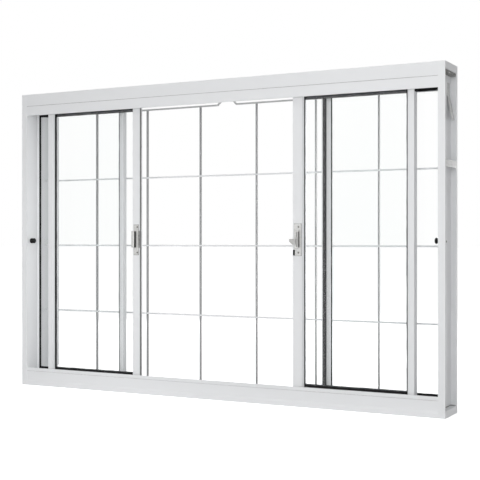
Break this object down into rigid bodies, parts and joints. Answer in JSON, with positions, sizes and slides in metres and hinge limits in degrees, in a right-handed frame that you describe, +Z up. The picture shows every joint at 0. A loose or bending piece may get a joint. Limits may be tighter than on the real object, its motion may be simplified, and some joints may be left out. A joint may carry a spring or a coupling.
{
  "type": "horizontal sliding window",
  "caption": "White aluminium sliding window with a deep channel frame, sliding leaves in front of fixed side panes, a sash lock and a slim fixed grille behind.",
  "frame": {"origin": "middle of the frame's bottom edge, on the plane that the frame stands on", "axes": "+X along the width to the right seen from the room, +Y from the room side to the grille side, +Z up"},
  "size_m": [1.5, 0.12, 1],
  "materials": {
    "white_coat": "white powder coat, satin",
    "clear_glass": "clear float glass",
    "black_rubber": "black rubber profile",
    "roller_nylon": "dark nylon",
    "zinc_hardware": "light grey painted zinc",
    "galvanised_steel": "galvanised sheet, coated"
  },
  "bodies": {
    "frame": {"head": "white_coat", "sill": "white_coat", "left_jamb": "white_coat", "right_jamb": "white_coat", "left_fixed_stile": "white_coat", "right_fixed_stile": "white_coat", "left_fixed_glass": "clear_glass", "right_fixed_glass": "clear_glass", "left_fixed_gasket": "black_rubber", "right_fixed_gasket": "black_rubber", "grille_rail_1": "white_coat", "grille_rail_2": "white_coat", "grille_rail_3": "white_coat", "grille_rail_4": "white_coat", "grille_rail_5": "white_coat", "grille_bar_1": "white_coat", "grille_bar_2": "white_coat", "grille_bar_3": "white_coat", "grille_bar_4": "white_coat", "grille_bar_5": "white_coat", "grille_bar_6": "white_coat", "left_bumper": "black_rubber", "right_bumper": "black_rubber", "left_anchor_band": "galvanised_steel", "right_anchor_band": "galvanised_steel", "left_anchor_strap": "galvanised_steel", "right_anchor_strap": "galvanised_steel"},
    "left_sash": {"left_outer_stile": "white_coat", "left_meeting_stile": "white_coat", "left_bottom_rail": "white_coat", "left_top_rail": "white_coat", "left_sash_glass": "clear_glass", "left_sash_gasket": "black_rubber", "left_sash_rollers": "roller_nylon", "lock_keeper": "zinc_hardware"},
    "right_sash": {"right_outer_stile": "white_coat", "right_meeting_stile": "white_coat", "right_bottom_rail": "white_coat", "right_top_rail": "white_coat", "right_sash_glass": "clear_glass", "right_sash_gasket": "black_rubber", "right_sash_rollers": "roller_nylon", "right_meeting_flap": "white_coat", "lock_body": "zinc_hardware", "lock_latch": "zinc_hardware"}
  },
  "joints": [
    {"name": "left_sash_slide", "type": "slide", "parent": "frame", "child": "left_sash", "axis": [-1, 0, 0], "range_m": [-0.2665, 0.064]},
    {"name": "right_sash_slide", "type": "slide", "parent": "frame", "child": "right_sash", "axis": [1, 0, 0], "range_m": [-0.2775, 0.053]}
  ]
}
